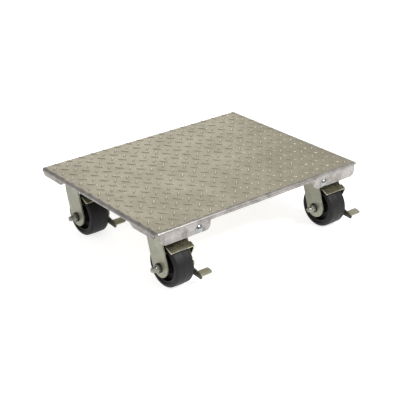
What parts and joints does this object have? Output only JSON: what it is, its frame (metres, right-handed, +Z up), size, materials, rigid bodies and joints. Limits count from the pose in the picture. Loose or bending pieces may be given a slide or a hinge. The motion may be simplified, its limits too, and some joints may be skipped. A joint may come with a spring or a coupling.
{
  "type": "flatbed platform truck",
  "caption": "Low flatbed dolly: aluminium tread-plate deck with bent corner tabs on braked swivel casters with foot pedals.",
  "frame": {"origin": "on the floor, under the middle of the whole truck's outline, with the pedals on the -Y side and the tab bolts' domes counted", "axes": "+X along the deck, +Y across it away from the pedals, +Z up"},
  "size_m": [0.6096, 0.4858, 0.1585],
  "materials": {
    "tread_plate": "rolled tread plate, satin, lightly scuffed",
    "fork_zinc": "zinc plated, greenish grey, satin",
    "brake_zinc": "zinc plated, yellow passivated, darker",
    "axle_zinc": "zinc plated, semi bright",
    "bright_zinc": "bright zinc",
    "bracket_steel": "plain zinc plated plate",
    "bearing_steel": "ground, oiled",
    "wheel_core": "moulded, near black, matte",
    "tyre": "hard rubber, near black, satin"
  },
  "bodies": {
    "deck": {"deck_plate": "tread_plate", "tab_bolts": "bright_zinc", "tab_nuts": "bright_zinc", "corner_bracket_fl": "bracket_steel", "mount_plate_fl": "fork_zinc", "plate_bolts_fl": "bright_zinc", "kingpin_fl": "fork_zinc", "corner_bracket_fr": "bracket_steel", "mount_plate_fr": "fork_zinc", "plate_bolts_fr": "bright_zinc", "kingpin_fr": "fork_zinc", "corner_bracket_bl": "bracket_steel", "mount_plate_bl": "fork_zinc", "plate_bolts_bl": "bright_zinc", "kingpin_bl": "fork_zinc", "corner_bracket_br": "bracket_steel", "mount_plate_br": "fork_zinc", "plate_bolts_br": "bright_zinc", "kingpin_br": "fork_zinc"},
    "caster_fl": {"swivel_balls_fl": "bearing_steel", "fork_fl": "fork_zinc", "axle_bolt_fl": "axle_zinc", "axle_nut_fl": "axle_zinc", "axle_bushing_fl": "bearing_steel", "brake_pivot_fl": "axle_zinc"},
    "wheel_fl": {"wheel_bearing_fl": "bearing_steel", "wheel_core_fl": "wheel_core", "tyre_fl": "tyre"},
    "brake_fl": {"brake_lever_fl": "brake_zinc"},
    "caster_fr": {"swivel_balls_fr": "bearing_steel", "fork_fr": "fork_zinc", "axle_bolt_fr": "axle_zinc", "axle_nut_fr": "axle_zinc", "axle_bushing_fr": "bearing_steel", "brake_pivot_fr": "axle_zinc"},
    "wheel_fr": {"wheel_bearing_fr": "bearing_steel", "wheel_core_fr": "wheel_core", "tyre_fr": "tyre"},
    "brake_fr": {"brake_lever_fr": "brake_zinc"},
    "caster_bl": {"swivel_balls_bl": "bearing_steel", "fork_bl": "fork_zinc", "axle_bolt_bl": "axle_zinc", "axle_nut_bl": "axle_zinc", "axle_bushing_bl": "bearing_steel", "brake_pivot_bl": "axle_zinc"},
    "wheel_bl": {"wheel_bearing_bl": "bearing_steel", "wheel_core_bl": "wheel_core", "tyre_bl": "tyre"},
    "brake_bl": {"brake_lever_bl": "brake_zinc"},
    "caster_br": {"swivel_balls_br": "bearing_steel", "fork_br": "fork_zinc", "axle_bolt_br": "axle_zinc", "axle_nut_br": "axle_zinc", "axle_bushing_br": "bearing_steel", "brake_pivot_br": "axle_zinc"},
    "wheel_br": {"wheel_bearing_br": "bearing_steel", "wheel_core_br": "wheel_core", "tyre_br": "tyre"},
    "brake_br": {"brake_lever_br": "brake_zinc"}
  },
  "joints": [
    {"name": "swivel_fl", "type": "hinge", "parent": "deck", "child": "caster_fl", "pos_m": [-0.2363, -0.15285, 0.13], "axis": [0, 0, 1], "continuous": true},
    {"name": "spin_fl", "type": "hinge", "parent": "caster_fl", "child": "wheel_fl", "pos_m": [-0.2363, -0.18085, 0.0508], "axis": [1, 0, 0], "continuous": true},
    {"name": "pedal_fl", "type": "hinge", "parent": "caster_fl", "child": "brake_fl", "pos_m": [-0.2363, -0.17085, 0.0868], "axis": [1, 0, 0], "range_deg": [0, 5]},
    {"name": "swivel_fr", "type": "hinge", "parent": "deck", "child": "caster_fr", "pos_m": [0.2363, -0.15285, 0.13], "axis": [0, 0, 1], "continuous": true},
    {"name": "spin_fr", "type": "hinge", "parent": "caster_fr", "child": "wheel_fr", "pos_m": [0.2363, -0.18085, 0.0508], "axis": [1, 0, 0], "continuous": true},
    {"name": "pedal_fr", "type": "hinge", "parent": "caster_fr", "child": "brake_fr", "pos_m": [0.2363, -0.17085, 0.0868], "axis": [1, 0, 0], "range_deg": [0, 5]},
    {"name": "swivel_bl", "type": "hinge", "parent": "deck", "child": "caster_bl", "pos_m": [-0.2363, 0.17135, 0.13], "axis": [0, 0, 1], "continuous": true},
    {"name": "spin_bl", "type": "hinge", "parent": "caster_bl", "child": "wheel_bl", "pos_m": [-0.2363, 0.14335, 0.0508], "axis": [1, 0, 0], "continuous": true},
    {"name": "pedal_bl", "type": "hinge", "parent": "caster_bl", "child": "brake_bl", "pos_m": [-0.2363, 0.15335, 0.0868], "axis": [1, 0, 0], "range_deg": [0, 5]},
    {"name": "swivel_br", "type": "hinge", "parent": "deck", "child": "caster_br", "pos_m": [0.2363, 0.17135, 0.13], "axis": [0, 0, 1], "continuous": true},
    {"name": "spin_br", "type": "hinge", "parent": "caster_br", "child": "wheel_br", "pos_m": [0.2363, 0.14335, 0.0508], "axis": [1, 0, 0], "continuous": true},
    {"name": "pedal_br", "type": "hinge", "parent": "caster_br", "child": "brake_br", "pos_m": [0.2363, 0.15335, 0.0868], "axis": [1, 0, 0], "range_deg": [0, 5]}
  ]
}
